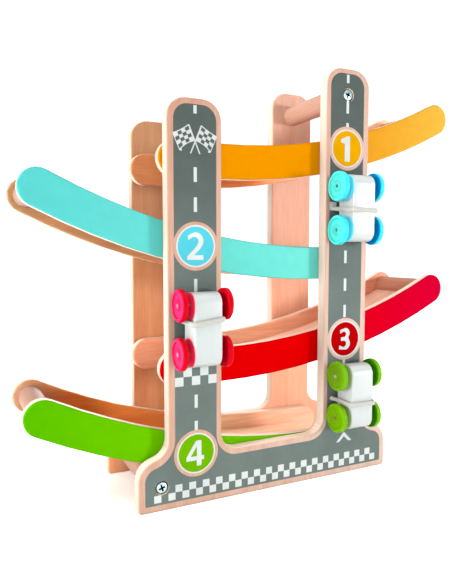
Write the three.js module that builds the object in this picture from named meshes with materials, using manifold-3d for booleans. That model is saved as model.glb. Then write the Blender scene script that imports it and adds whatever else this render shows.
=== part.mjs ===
// A wooden racing track: two U-shaped panels, held apart by two crossbars, carry four curved ramps
// between them, and three small cars are tied to the front posts by elastic loops.
// Millimetres, +Z up, +X to the right along the front face, +Y towards the back.
import * as THREE from "three";
import { mergeVertices } from "three/addons/utils/BufferGeometryUtils.js";
import Module from "manifold-3d";

const wasm = await Module();
wasm.setup();

// Panels
const PANEL_THICKNESS = 9;
const PANEL_GAP = 68; // clear depth between the two panels
const PANEL_EDGE_ROUND = 1.2;
const POST_SPACING = 124; // between the centre lines of the two posts
const POST_WIDTH = 39.1;
const POST_TOP_RADIUS = 13.5;
const SHORT_POST_RISE = 37.7; // left post, above the top ramp's low end
const TALL_POST_RISE = 72.7; // right post, above the top ramp's low end
const BASE_HEIGHT = 34.5; // between the posts
const BASE_INNER_RADIUS = 12;
const FOOT_OVERHANG = 21.35; // each foot past its post
const FOOT_CORNER_RADIUS = 2.5;
const SHOULDER_RADIUS = 14.6; // round top of a foot
const SHOULDER_HEIGHT = 20.5; // where that round starts, above the floor
const HOLLOW_RADIUS = 12.6; // from the shoulder up into the post

// Crossbars and their screws
const CROSSBAR_DIAMETER = 16;
const TOP_BAR_DROP = 18.9; // below the top of the tall post
const BASE_BAR_INSET = 16.65; // from the end of the left foot
const BASE_BAR_HEIGHT = 15.7;
const SCREW_HEAD_DIAMETER = 8.2;
const SCREW_HEAD_HEIGHT = 2.4;
const SCREW_SHANK_DIAMETER = 3.6;
const SCREW_LENGTH = 26; // under the head
const SCREW_TIP_LENGTH = 3;
const SCREW_CROSS_LENGTH = 4.8;
const SCREW_CROSS_WIDTH = 1.4;
const SCREW_CROSS_DEPTH = 1.3;
const TOP_SCREW_TURN = 22; // degrees clockwise, as the screws happened to stop
const BASE_SCREW_TURN = -17;
const SCREW_HOLE_CLEARANCE = 0.15; // on the radius, in the wood
const COUNTERBORE_DEPTH = 2.7;
const COUNTERBORE_CLEARANCE = 0.7; // on the radius, around the head

// Ramps
const RAMP_PITCH = 70.5; // from one ramp to the next
const RAMP_GROUND_GAP = 10.2; // under the lowest ramp
const RAMP_RADIUS = 442; // of the rails' centre line
const RAMP_FLAT_LENGTH = 32.4; // level stretch at the low end
const RAMP_LOW_OVERRUN = 10; // low end's centre past the post's centre line
const RAMP_HIGH_OVERHANG = 97.5; // high end's centre past the other post's centre line
const RAIL_HEIGHT = 24;
const RAIL_THICKNESS = 7;
const RAIL_EDGE_ROUND = 0.8;
const FLOOR_DROP = 12.5; // from the top of the rails to the floor
const FLOOR_THICKNESS = 4;
const FLOOR_SETBACK = 12.5; // the floor stops this far before the low end's centre
const END_BAR_DIAMETER = 16;
const END_BAR_GAP = 0.3; // between the end bar and the floor

// Cars
const CAR_BODY_WIDTH = 19.5;
const CAR_BODY_THICKNESS = 17.5;
const CAR_BODY_UNDER_AXLE = 7.75; // from the axles' centres to the face towards the post
const CAR_BODY_END_RADIUS = 7.5;
const CAR_BODY_EDGE_ROUND = 1;
const CAR_BODY_END = 8.5; // body past each axle
const CAR_WHEELBASE = 31.4;
const CAR_REST_GAP = 0.3; // between the wheels and the post
const WHEEL_DIAMETER = 21.5;
const WHEEL_WIDTH = 4.2;
const WHEEL_RIM_WIDTH = 2.1;
const WHEEL_RIM_ROUND = 1.1;
const WHEEL_DISH_DEPTH = 0.8;
const WHEEL_HUB_DIAMETER = 6;
const WHEEL_BORE_CLEARANCE = 0.05; // on the radius, around the axle
const WHEEL_SIDE_CLEARANCE = 0.4; // between a wheel and the elastic beside it
const AXLE_DIAMETER = 2.6;
const AXLE_BORE_CLEARANCE = 0.25; // on the radius, in the body
const AXLE_END_STICKOUT = 0.3;

// Elastic loops
const ELASTIC_DIAMETER = 3.2;
const ELASTIC_GAP = 0.3; // to the body and the post
const ELASTIC_SPLAY = 1; // each hole lies this far outside the stretch along the body
const ELASTIC_HOLE_CLEARANCE = 0.5; // on the radius, in the post
const ELASTIC_KNOT_DIAMETER = 7;

// Ramps from the top down: the side that the high end is on, and the paint of the front rail
const RAMPS = [
  { highSide: 1, paint: 0xf5a800 },
  { highSide: -1, paint: 0x62dfe0 },
  { highSide: 1, paint: 0xdc0018 },
  { highSide: -1, paint: 0x6fcf00 },
];

// Heights of the cars above the low end of the ramp beside them
const BLUE_CAR_RISE = 40;
const RED_CAR_RISE = 29.3;
const GREEN_CAR_RISE = 42;

// How far each car sits to the right of its post's middle
const BLUE_CAR_SHIFT = -0.4;
const RED_CAR_SHIFT = 0.5;
const GREEN_CAR_SHIFT = 0.8;

// How far above the car's middle each elastic leaves the post and crosses the body's two front edges
const BLUE_HOLE_LIFT = 0.5;
const BLUE_LEFT_LIFT = -1.5;
const BLUE_RIGHT_LIFT = -1.5;
const RED_HOLE_LIFT = 5.3;
const RED_LEFT_LIFT = 4.2;
const RED_RIGHT_LIFT = 6.6;
const GREEN_HOLE_LIFT = -3.7;
const GREEN_LEFT_LIFT = -4.3;
const GREEN_RIGHT_LIFT = -4.5;

// Cars: the post that each is tied to, the ramp that its height is measured from, and its wheels' colour
const CARS = [
  {
    name: "blue",
    postSide: 1,
    ramp: 1,
    rise: BLUE_CAR_RISE,
    shift: BLUE_CAR_SHIFT,
    paint: 0x4fe6e6,
    lift: { hole: BLUE_HOLE_LIFT, left: BLUE_LEFT_LIFT, right: BLUE_RIGHT_LIFT },
  },
  {
    name: "red",
    postSide: -1,
    ramp: 2,
    rise: RED_CAR_RISE,
    shift: RED_CAR_SHIFT,
    paint: 0xf0102c,
    lift: { hole: RED_HOLE_LIFT, left: RED_LEFT_LIFT, right: RED_RIGHT_LIFT },
  },
  {
    name: "green",
    postSide: 1,
    ramp: 3,
    rise: GREEN_CAR_RISE,
    shift: GREEN_CAR_SHIFT,
    paint: 0x78c400,
    lift: { hole: GREEN_HOLE_LIFT, left: GREEN_LEFT_LIFT, right: GREEN_RIGHT_LIFT },
  },
];

// Facets
const ROUND_SIDES = 20;
const SMALL_ROUND_SIDES = 12;
const CORD_SIDES = 8;
const CORD_BEND_STEPS = 3;
const CORNER_STEPS = 6;
const RAMP_STEPS = 10;
const EDGE_STEPS = 2;
const RAIL_EDGE_STEPS = 1;

// Sizes that follow from the ones above
const POST_X = POST_SPACING / 2;
const POST_INNER_X = POST_X - POST_WIDTH / 2;
const POST_OUTER_X = POST_X + POST_WIDTH / 2;
const FOOT_X = POST_OUTER_X + FOOT_OVERHANG;
const TRACK_DEPTH = 2 * PANEL_THICKNESS + PANEL_GAP;
const rampHeight = (index) => RAMP_GROUND_GAP + RAIL_HEIGHT / 2 + RAMP_PITCH * (RAMPS.length - 1 - index);
const SHORT_POST_HEIGHT = rampHeight(0) + SHORT_POST_RISE;
const TALL_POST_HEIGHT = rampHeight(0) + TALL_POST_RISE;
const CROSSBARS = [
  { name: "top", x: POST_X, z: TALL_POST_HEIGHT - TOP_BAR_DROP, turn: TOP_SCREW_TURN },
  { name: "base", x: BASE_BAR_INSET - FOOT_X, z: BASE_BAR_HEIGHT, turn: BASE_SCREW_TURN },
];
const WHEEL_GAP = ELASTIC_GAP + ELASTIC_DIAMETER + WHEEL_SIDE_CLEARANCE; // between a wheel and the body
const CAR_BODY_OVER_AXLE = CAR_BODY_THICKNESS - CAR_BODY_UNDER_AXLE;
const CAR_STANDOFF = Math.max(WHEEL_DIAMETER / 2, CAR_BODY_UNDER_AXLE) + CAR_REST_GAP;
const ELASTIC_SIDE_X = CAR_BODY_WIDTH / 2 + ELASTIC_GAP + ELASTIC_DIAMETER / 2;
const ELASTIC_HOLE_X = ELASTIC_SIDE_X + ELASTIC_SPLAY;
const carHeight = (car) => rampHeight(car.ramp) + car.rise;
const carX = (car) => car.postSide * POST_X + car.shift;

// Looks
const finish = (color, roughness, metalness = 0) => ({ color, roughness, metalness });
const BIRCH = finish(0xe9c39d, 0.55);
const BEECH = finish(0xe2a981, 0.6);
const STEEL = finish(0xb9bcc0, 0.3, 1);
const WHITE_PAINT = finish(0xf3f4f2, 0.25);
const ELASTIC = finish(0xf1eee6, 0.8);

// Points of an arc in a flat outline, both ends included, with angles in degrees.
function arcPoints(x, y, radius, fromDegrees, toDegrees, steps = CORNER_STEPS) {
  const points = [];
  for (let i = 0; i <= steps; i++) {
    const angle = THREE.MathUtils.degToRad(fromDegrees + ((toDegrees - fromDegrees) * i) / steps);
    points.push(new THREE.Vector2(x + radius * Math.cos(angle), y + radius * Math.sin(angle)));
  }
  return points;
}

// One outline out of several stretches, without the points where two stretches meet twice.
function joinOutline(...stretches) {
  const points = stretches.flat();
  return points.filter((point, i) => point.distanceTo(points[(i + 1) % points.length]) > 1e-4);
}

// A flat board cut to an outline in the x-z plane, from y = 0 to y = thickness, with rounded edges.
function boardGeometry(outline, thickness, edgeRound, edgeSteps) {
  const geometry = new THREE.ExtrudeGeometry(new THREE.Shape(outline), {
    depth: thickness - 2 * edgeRound,
    bevelEnabled: edgeRound > 0,
    bevelSize: edgeRound,
    bevelThickness: edgeRound,
    bevelOffset: -edgeRound,
    bevelSegments: edgeSteps,
  });
  geometry.translate(0, 0, edgeRound - thickness);
  return geometry.rotateX(Math.PI / 2);
}

// A solid for cutting and joining, from a closed geometry.
function toSolid(geometry) {
  const bare = geometry.clone();
  bare.deleteAttribute("normal");
  bare.deleteAttribute("uv");
  const merged = mergeVertices(bare, 1e-4);
  return new wasm.Manifold(
    new wasm.Mesh({
      numProp: 3,
      vertProperties: merged.attributes.position.array,
      triVerts: new Uint32Array(merged.index.array),
    }),
  );
}

function fromSolid(solid) {
  const { vertProperties, triVerts } = solid.getMesh();
  const geometry = new THREE.BufferGeometry();
  geometry.setAttribute("position", new THREE.BufferAttribute(vertProperties, 3));
  geometry.setIndex(new THREE.BufferAttribute(triVerts, 1));
  geometry.computeVertexNormals();
  return geometry;
}

function cut(geometry, cutters) {
  return fromSolid(cutters.reduce((solid, cutter) => solid.subtract(toSolid(cutter)), toSolid(geometry)));
}

function joined(geometries) {
  return fromSolid(geometries.map(toSolid).reduce((whole, solid) => whole.add(solid)));
}

// A turned piece along the y axis, from [radius, y] pairs.
function turned(profile, sides = ROUND_SIDES) {
  return new THREE.LatheGeometry(
    profile.map(([radius, y]) => new THREE.Vector2(radius, y)),
    sides,
  );
}

function addMesh(parent, name, geometry, look) {
  const mesh = new THREE.Mesh(geometry, new THREE.MeshStandardMaterial(look));
  mesh.name = name;
  parent.add(mesh);
  return mesh;
}

// Outline of a panel: feet, S-shaped shoulders, a tall right post and a short left post.
function panelOutline() {
  const corner = FOOT_CORNER_RADIUS;
  const shoulder = SHOULDER_RADIUS;
  const hollow = HOLLOW_RADIUS;
  const shoulderX = FOOT_X - shoulder;
  const hollowX = POST_OUTER_X + hollow;
  const between = hollowX - shoulderX;
  const rise = Math.sqrt((shoulder + hollow) ** 2 - between ** 2);
  const hollowHeight = SHOULDER_HEIGHT + rise;
  const meeting = THREE.MathUtils.radToDeg(Math.atan2(rise, between)); // where the two rounds touch
  const top = Math.min(POST_TOP_RADIUS, POST_WIDTH / 2 - 0.5);
  const inner = BASE_INNER_RADIUS;
  const postTop = (x, height) => [
    ...arcPoints(x + POST_WIDTH / 2 - top, height - top, top, 0, 90),
    ...arcPoints(x - POST_WIDTH / 2 + top, height - top, top, 90, 180),
  ];
  return joinOutline(
    arcPoints(corner - FOOT_X, corner, corner, 180, 270),
    arcPoints(FOOT_X - corner, corner, corner, 270, 360),
    arcPoints(shoulderX, SHOULDER_HEIGHT, shoulder, 0, meeting),
    arcPoints(hollowX, hollowHeight, hollow, 180 + meeting, 180),
    postTop(POST_X, TALL_POST_HEIGHT),
    arcPoints(POST_INNER_X - inner, BASE_HEIGHT + inner, inner, 0, -90),
    arcPoints(inner - POST_INNER_X, BASE_HEIGHT + inner, inner, 270, 180),
    postTop(-POST_X, SHORT_POST_HEIGHT),
    arcPoints(-hollowX, hollowHeight, hollow, 0, -meeting),
    arcPoints(-shoulderX, SHOULDER_HEIGHT, shoulder, 180 - meeting, 180),
  );
}

// What a screw needs out of a panel whose outer face is at y = 0: a counterbore and a hole right through.
function screwHoleCutter() {
  const head = SCREW_HEAD_DIAMETER / 2 + COUNTERBORE_CLEARANCE;
  const shank = SCREW_SHANK_DIAMETER / 2 + SCREW_HOLE_CLEARANCE;
  const past = 1;
  return turned([
    [0, -past],
    [head, -past],
    [head, COUNTERBORE_DEPTH],
    [shank, COUNTERBORE_DEPTH],
    [shank, PANEL_THICKNESS + past],
    [0, PANEL_THICKNESS + past],
  ]);
}

// Holes for the elastic loops, right through the front panel.
function elasticHoleCutters() {
  const radius = ELASTIC_DIAMETER / 2 + ELASTIC_HOLE_CLEARANCE;
  return CARS.flatMap((car) =>
    [-1, 1].map((side) => {
      const hole = new THREE.CylinderGeometry(radius, radius, 3 * PANEL_THICKNESS, SMALL_ROUND_SIDES);
      const x = carX(car) + side * ELASTIC_HOLE_X;
      return hole.translate(x, PANEL_THICKNESS / 2, carHeight(car) + car.lift.hole);
    }),
  );
}

function addPanels(parent) {
  const board = boardGeometry(panelOutline(), PANEL_THICKNESS, PANEL_EDGE_ROUND, EDGE_STEPS);
  const frontScrewHoles = CROSSBARS.map(({ x, z }) => screwHoleCutter().translate(x, 0, z));
  const backScrewHoles = CROSSBARS.map(({ x, z }) =>
    screwHoleCutter().rotateX(Math.PI).translate(x, PANEL_THICKNESS, z),
  );
  addMesh(parent, "front_panel", cut(board, [...frontScrewHoles, ...elasticHoleCutters()]), BIRCH);
  const back = addMesh(parent, "back_panel", cut(board, backScrewHoles), BIRCH);
  back.position.y = PANEL_THICKNESS + PANEL_GAP;
}

// A round bar between the panels, with a blind hole for a screw in each end.
function crossbarGeometry() {
  const half = PANEL_GAP / 2;
  const radius = CROSSBAR_DIAMETER / 2;
  const hole = SCREW_SHANK_DIAMETER / 2 + SCREW_HOLE_CLEARANCE;
  const bottom = half - (SCREW_LENGTH - (PANEL_THICKNESS - COUNTERBORE_DEPTH)) - 1;
  return turned([
    [0, -bottom],
    [hole, -bottom],
    [hole, -half],
    [radius, -half],
    [radius, half],
    [hole, half],
    [hole, bottom],
    [0, bottom],
  ]);
}

// A pan-head screw along +y, with the underside of its head at y = 0 and a cross recess in the head.
function screwGeometry() {
  const head = SCREW_HEAD_DIAMETER / 2;
  const shank = SCREW_SHANK_DIAMETER / 2;
  const body = turned(
    [
      [0, -SCREW_HEAD_HEIGHT],
      [head * 0.8, -SCREW_HEAD_HEIGHT * 0.92],
      [head * 0.97, -SCREW_HEAD_HEIGHT * 0.6],
      [head, 0],
      [shank, 0],
      [shank, SCREW_LENGTH - SCREW_TIP_LENGTH],
      [0, SCREW_LENGTH],
    ],
    ROUND_SIDES,
  );
  const depth = 2 * SCREW_CROSS_DEPTH;
  const slot = new THREE.BoxGeometry(SCREW_CROSS_LENGTH, depth, SCREW_CROSS_WIDTH);
  slot.translate(0, -SCREW_HEAD_HEIGHT, 0);
  return cut(body, [slot, slot.clone().rotateY(Math.PI / 2)]);
}

function addCrossbars(parent) {
  for (const { name, x, z, turn } of CROSSBARS) {
    const bar = addMesh(parent, `${name}_crossbar`, crossbarGeometry(), BEECH);
    bar.position.set(x, TRACK_DEPTH / 2, z);
    const front = addMesh(parent, `${name}_screw_front`, screwGeometry(), STEEL);
    front.position.set(x, COUNTERBORE_DEPTH, z);
    front.rotation.y = THREE.MathUtils.degToRad(turn);
    const back = addMesh(parent, `${name}_screw_back`, screwGeometry(), STEEL);
    back.position.set(x, TRACK_DEPTH - COUNTERBORE_DEPTH, z);
    back.rotation.x = Math.PI;
  }
}

// Centre line of a ramp with its high end on the left: level from the low end, then rising along an arc.
const RAMP_LOW_X = POST_X + RAMP_LOW_OVERRUN;
const RAMP_ARC_X = RAMP_LOW_X - RAMP_FLAT_LENGTH;
const RAMP_HIGH_X = -(POST_X + RAMP_HIGH_OVERHANG);
const RAMP_ARC_DEGREES = THREE.MathUtils.radToDeg(Math.asin((RAMP_ARC_X - RAMP_HIGH_X) / RAMP_RADIUS));
const RAMP_RISE = RAMP_RADIUS * (1 - Math.cos(THREE.MathUtils.degToRad(RAMP_ARC_DEGREES)));

// An edge that runs at a height over the centre line, from the arc's low end up to an angle.
function rampArc(over, degrees) {
  return arcPoints(RAMP_ARC_X, RAMP_RADIUS, RAMP_RADIUS - over, -90, -90 - degrees, RAMP_STEPS);
}

function railOutline() {
  const half = RAIL_HEIGHT / 2;
  const tilt = RAMP_ARC_DEGREES;
  return joinOutline(
    arcPoints(RAMP_LOW_X, 0, half, -90, 90, 2 * CORNER_STEPS),
    rampArc(half, tilt),
    arcPoints(RAMP_HIGH_X, RAMP_RISE, half, 90 - tilt, 270 - tilt, 2 * CORNER_STEPS),
    rampArc(-half, tilt).reverse(),
  );
}

function floorOutline() {
  const top = RAIL_HEIGHT / 2 - FLOOR_DROP;
  const bottom = top - FLOOR_THICKNESS;
  const lowX = RAMP_LOW_X - FLOOR_SETBACK;
  const barRoom = THREE.MathUtils.radToDeg((END_BAR_DIAMETER / 2 + END_BAR_GAP) / RAMP_RADIUS);
  const degrees = RAMP_ARC_DEGREES - barRoom;
  return joinOutline(
    [new THREE.Vector2(lowX, bottom), new THREE.Vector2(lowX, top)],
    rampArc(top, degrees),
    rampArc(bottom, degrees).reverse(),
  );
}

// The same outline with the high end on the given side.
function facing(outline, highSide) {
  return outline.map((point) => new THREE.Vector2(-highSide * point.x, point.y));
}

function addRamp(parent, index) {
  const { highSide, paint } = RAMPS[index];
  const ramp = new THREE.Group();
  ramp.position.set(0, PANEL_THICKNESS, rampHeight(index));
  parent.add(ramp);
  const name = `ramp_${index + 1}`;
  const floorWidth = PANEL_GAP - 2 * RAIL_THICKNESS;
  const rail = boardGeometry(facing(railOutline(), highSide), RAIL_THICKNESS, RAIL_EDGE_ROUND, RAIL_EDGE_STEPS);
  addMesh(ramp, `${name}_front_rail`, rail, finish(paint, 0.45));
  const backRail = addMesh(ramp, `${name}_back_rail`, rail.clone(), BIRCH);
  backRail.position.y = PANEL_GAP - RAIL_THICKNESS;
  const floor = boardGeometry(facing(floorOutline(), highSide), floorWidth, 0, 0);
  addMesh(ramp, `${name}_floor`, floor, BIRCH).position.y = RAIL_THICKNESS;
  const barRadius = END_BAR_DIAMETER / 2;
  const bar = new THREE.CylinderGeometry(barRadius, barRadius, floorWidth, ROUND_SIDES);
  addMesh(ramp, `${name}_end_bar`, bar, BEECH).position.set(-highSide * RAMP_HIGH_X, PANEL_GAP / 2, RAMP_RISE);
}

// Side outline of a car body, lying along x, with its two axle bores.
function carBodyGeometry() {
  const halfLength = CAR_WHEELBASE / 2 + CAR_BODY_END;
  const radius = Math.min(CAR_BODY_END_RADIUS, CAR_BODY_THICKNESS / 2 - 0.2);
  const x = halfLength - radius;
  const backY = CAR_BODY_UNDER_AXLE - radius;
  const frontY = radius - CAR_BODY_OVER_AXLE;
  const shape = new THREE.Shape(
    joinOutline(
      arcPoints(x, backY, radius, 0, 90),
      arcPoints(-x, backY, radius, 90, 180),
      arcPoints(-x, frontY, radius, 180, 270),
      arcPoints(x, frontY, radius, 270, 360),
    ),
  );
  const body = new THREE.ExtrudeGeometry(shape, {
    depth: CAR_BODY_WIDTH - 2 * CAR_BODY_EDGE_ROUND,
    bevelSize: CAR_BODY_EDGE_ROUND,
    bevelThickness: CAR_BODY_EDGE_ROUND,
    bevelOffset: -CAR_BODY_EDGE_ROUND,
    bevelSegments: EDGE_STEPS,
  });
  body.translate(0, 0, CAR_BODY_EDGE_ROUND - CAR_BODY_WIDTH / 2);
  const boreRadius = AXLE_DIAMETER / 2 + AXLE_BORE_CLEARANCE;
  const bores = [-1, 1].map((end) => {
    const bore = new THREE.CylinderGeometry(boreRadius, boreRadius, 2 * CAR_BODY_WIDTH, SMALL_ROUND_SIDES);
    return bore.rotateX(Math.PI / 2).translate((end * CAR_WHEELBASE) / 2, 0, 0);
  });
  return cut(body, bores).rotateY(Math.PI / 2);
}

// A wheel around the x axis, centred on its width, with its dished outer face towards the given side.
function wheelGeometry(side) {
  const half = WHEEL_WIDTH / 2;
  const radius = WHEEL_DIAMETER / 2;
  const rim = radius - WHEEL_RIM_WIDTH;
  const bore = AXLE_DIAMETER / 2 + WHEEL_BORE_CLEARANCE;
  const hub = WHEEL_HUB_DIAMETER / 2;
  const dish = half - WHEEL_DISH_DEPTH;
  const profile = [
    [bore, -half],
    [radius - WHEEL_RIM_ROUND, -half],
    [radius, WHEEL_RIM_ROUND - half],
    [radius, half - WHEEL_RIM_ROUND],
    [radius - WHEEL_RIM_ROUND, half],
    [rim, half],
    [rim - WHEEL_DISH_DEPTH / 2, dish],
    [hub + WHEEL_DISH_DEPTH / 2, dish],
    [hub, half - WHEEL_DISH_DEPTH / 2],
    [bore, half - WHEEL_DISH_DEPTH / 2],
    [bore, -half],
  ];
  return turned(profile).rotateZ((-side * Math.PI) / 2);
}

// The elastic's route around a car, in the car's frame: out of the knot behind the post, through one hole,
// round the body's front and back through the other hole.
function elasticRoute(lift) {
  const front = -(CAR_BODY_OVER_AXLE + ELASTIC_GAP + ELASTIC_DIAMETER / 2);
  const postFront = CAR_STANDOFF;
  const postBack = CAR_STANDOFF + PANEL_THICKNESS;
  const backBend = ELASTIC_KNOT_DIAMETER / 2 + ELASTIC_GAP;
  const frontBend = CAR_BODY_EDGE_ROUND + ELASTIC_GAP + ELASTIC_DIAMETER / 2;
  const halfRoute = (side, frontLift) => {
    const point = (x, y, z) => new THREE.Vector3(side * x, y, z);
    const back = arcPoints(ELASTIC_HOLE_X - backBend, postBack, backBend, 90, 0, CORD_BEND_STEPS);
    const corner = arcPoints(ELASTIC_SIDE_X - frontBend, front + frontBend, frontBend, 0, -90, CORD_BEND_STEPS);
    return [
      point(ELASTIC_DIAMETER / 4, postBack + backBend, lift.hole),
      ...back.map((p) => point(p.x, p.y, lift.hole)),
      point(ELASTIC_HOLE_X, postFront, lift.hole),
      point(ELASTIC_SIDE_X, CAR_BODY_UNDER_AXLE, (3 * lift.hole + frontLift) / 4),
      point(ELASTIC_SIDE_X, 0, (lift.hole + frontLift) / 2),
      ...corner.map((p) => point(p.x, p.y, frontLift)),
    ];
  };
  const middle = new THREE.Vector3(0, front, (lift.left + lift.right) / 2);
  return [...halfRoute(-1, lift.left), middle, ...halfRoute(1, lift.right).reverse()];
}

// A curve that gives the route's own points at even steps, so that a tube has one ring at each of them.
class RouteCurve extends THREE.CatmullRomCurve3 {
  getPointAt(t, target) {
    return this.getPoint(t, target);
  }
  getTangentAt(t, target) {
    return this.getTangent(t, target);
  }
}

function elasticGeometry(lift) {
  const route = elasticRoute(lift);
  const section = new THREE.Shape(
    arcPoints(0, 0, ELASTIC_DIAMETER / 2, 0, 360, CORD_SIDES).slice(0, CORD_SIDES),
  );
  const tube = new THREE.ExtrudeGeometry(section, {
    extrudePath: new RouteCurve(route),
    steps: route.length - 1,
  });
  const knot = new THREE.SphereGeometry(ELASTIC_KNOT_DIAMETER / 2, SMALL_ROUND_SIDES, CORD_SIDES);
  const { y, z } = route[0];
  return joined([tube, knot.translate(0, y, z)]);
}

function addCar(parent, car) {
  const group = new THREE.Group();
  group.position.set(carX(car), -CAR_STANDOFF, carHeight(car));
  parent.add(group);
  const name = `${car.name}_car`;
  const wheelX = CAR_BODY_WIDTH / 2 + WHEEL_GAP + WHEEL_WIDTH / 2;
  const axleLength = 2 * (wheelX + WHEEL_WIDTH / 2 - WHEEL_DISH_DEPTH / 2 + AXLE_END_STICKOUT);
  const plastic = finish(car.paint, 0.3);
  addMesh(group, `${name}_body`, carBodyGeometry(), WHITE_PAINT);
  for (const [end, z] of [["upper", CAR_WHEELBASE / 2], ["lower", -CAR_WHEELBASE / 2]]) {
    const axle = new THREE.CylinderGeometry(AXLE_DIAMETER / 2, AXLE_DIAMETER / 2, axleLength, SMALL_ROUND_SIDES);
    addMesh(group, `${name}_${end}_axle`, axle.rotateZ(Math.PI / 2), STEEL).position.z = z;
    for (const [hand, side] of [["left", -1], ["right", 1]]) {
      const wheel = addMesh(group, `${name}_${end}_${hand}_wheel`, wheelGeometry(side), plastic);
      wheel.position.set(side * wheelX, 0, z);
    }
  }
  addMesh(group, `${name}_elastic`, elasticGeometry(car.lift), ELASTIC);
}

const track = new THREE.Group();
addPanels(track);
addCrossbars(track);
RAMPS.forEach((_, index) => addRamp(track, index));
CARS.forEach((car) => addCar(track, car));

// The origin is under the middle of the whole object, on the surface that it stands on.
const box = new THREE.Box3().setFromObject(track);
const middle = box.getCenter(new THREE.Vector3());
track.position.set(-middle.x, -middle.y, -box.min.z);

const object = new THREE.Group();
object.add(track);

export default object;
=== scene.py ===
"""Looks of the wooden racing track: wood, paint, road print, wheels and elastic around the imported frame."""

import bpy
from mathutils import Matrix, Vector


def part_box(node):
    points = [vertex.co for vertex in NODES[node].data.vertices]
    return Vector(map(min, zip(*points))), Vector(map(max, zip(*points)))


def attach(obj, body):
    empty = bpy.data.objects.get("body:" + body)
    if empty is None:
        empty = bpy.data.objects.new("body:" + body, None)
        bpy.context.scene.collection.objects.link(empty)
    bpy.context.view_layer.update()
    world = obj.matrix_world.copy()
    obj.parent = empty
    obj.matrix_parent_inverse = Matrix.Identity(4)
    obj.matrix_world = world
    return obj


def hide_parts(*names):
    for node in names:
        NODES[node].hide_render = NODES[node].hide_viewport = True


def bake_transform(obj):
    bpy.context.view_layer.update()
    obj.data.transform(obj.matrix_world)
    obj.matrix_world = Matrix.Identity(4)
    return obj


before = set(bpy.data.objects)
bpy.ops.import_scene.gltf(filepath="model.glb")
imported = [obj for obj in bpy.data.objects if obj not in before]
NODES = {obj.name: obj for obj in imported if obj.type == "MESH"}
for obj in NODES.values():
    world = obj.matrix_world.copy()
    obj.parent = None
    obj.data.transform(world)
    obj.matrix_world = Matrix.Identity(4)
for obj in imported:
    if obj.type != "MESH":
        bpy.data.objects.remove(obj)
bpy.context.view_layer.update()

import math

import bmesh
import bpy
from mathutils import Matrix, Vector

# Names and places in the frame, in metres
MM = 0.001
RAMP_NUMBERS = (1, 2, 3, 4)
CAR_NAMES = ("blue", "red", "green")
CROSSBARS = ("top", "base")
AXLE_ENDS = ("upper", "lower")
FRONT_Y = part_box("front_panel")[0].y
PANEL_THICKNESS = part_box("front_panel")[1].y - FRONT_Y
TRACK_HALF_DEPTH = (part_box("back_panel")[1].y - FRONT_Y) / 2
TRACK_MIDDLE_Y = FRONT_Y + TRACK_HALF_DEPTH


def middle_of(*nodes):
    """The middle of several nodes' boxes."""
    corners = [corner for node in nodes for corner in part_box(node)]
    return sum(corners, Vector()) / len(corners)


CAR_CENTRES = {car: middle_of(f"{car}_car_upper_axle", f"{car}_car_lower_axle") for car in CAR_NAMES}


def add_object(name, data):
    thing = bpy.data.objects.new(name, data)
    bpy.context.scene.collection.objects.link(thing)
    return thing


# Camera, fitted to the photograph: place in metres, turns in degrees
CAMERA_PLACE = (-0.2097, FRONT_Y - 0.3467, 0.1737)
CAMERA_PITCH = 4.318
CAMERA_YAW = 26.175
CAMERA_NEAREST = 0.01
FOCAL_PIXELS = 568.54
IMAGE_WIDTH = 452
SENSOR_WIDTH = 36.0


def add_camera():
    data = bpy.data.cameras.new("camera")
    data.sensor_fit = "HORIZONTAL"
    data.sensor_width = SENSOR_WIDTH
    data.lens = FOCAL_PIXELS / IMAGE_WIDTH * SENSOR_WIDTH
    data.clip_start = CAMERA_NEAREST
    camera = add_object("camera", data)
    camera.location = CAMERA_PLACE
    camera.rotation_euler = (math.radians(90 - CAMERA_PITCH), 0, math.radians(-CAMERA_YAW))
    bpy.context.scene.camera = camera


# Studio: pale floor, white surroundings and soft lamps
FLOOR_HALF = 4.0
FLOOR_COLOUR = (0.98, 0.98, 0.98, 1)
FLOOR_ROUGHNESS = 0.7
BACKDROP_STRENGTH = 1.2
SURROUND_STRENGTH = 0.75
TOP_LIGHT_STRENGTH = 3.0
TOP_LIGHT_SPREAD = 90
LAMP_TARGET = Vector((0, 0, 0.15))

# Lamps: place and width in metres, and power in watts
LAMPS = {
    "left": ((-1.2, -0.05, 0.3), 0.4, 24),
    "front": ((-0.5, -1.1, 0.2), 0.4, 4),
    "right": ((0.85, -0.85, 0.25), 0.2, 14),
    "back": ((0.4, 1.3, 0.5), 0.6, 9),
}


def add_floor():
    mesh = bpy.data.meshes.new("studio_floor")
    half = FLOOR_HALF
    corners = [(-half, -half, 0), (half, -half, 0), (half, half, 0), (-half, half, 0)]
    mesh.from_pydata(corners, [], [(0, 1, 2, 3)])
    floor = add_object("studio_floor", mesh)
    material = bpy.data.materials.new("studio_floor")
    material.use_nodes = True
    shader = material.node_tree.nodes["Principled BSDF"]
    shader.inputs["Base Color"].default_value = FLOOR_COLOUR
    shader.inputs["Roughness"].default_value = FLOOR_ROUGHNESS
    mesh.materials.append(material)


def add_surround():
    """A white backdrop, whose light on the object is dimmer than the backdrop itself looks."""
    world = bpy.data.worlds.new("studio")
    world.use_nodes = True
    tree = world.node_tree
    background = tree.nodes["Background"]
    background.inputs["Color"].default_value = WHITE
    in_view = tree.nodes.new("ShaderNodeLightPath").outputs["Is Camera Ray"]
    strength = tree.nodes.new("ShaderNodeMapRange")
    strength.inputs["To Min"].default_value = SURROUND_STRENGTH
    strength.inputs["To Max"].default_value = BACKDROP_STRENGTH
    tree.links.new(in_view, strength.inputs["Value"])
    tree.links.new(strength.outputs["Result"], background.inputs["Strength"])
    bpy.context.scene.world = world


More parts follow.
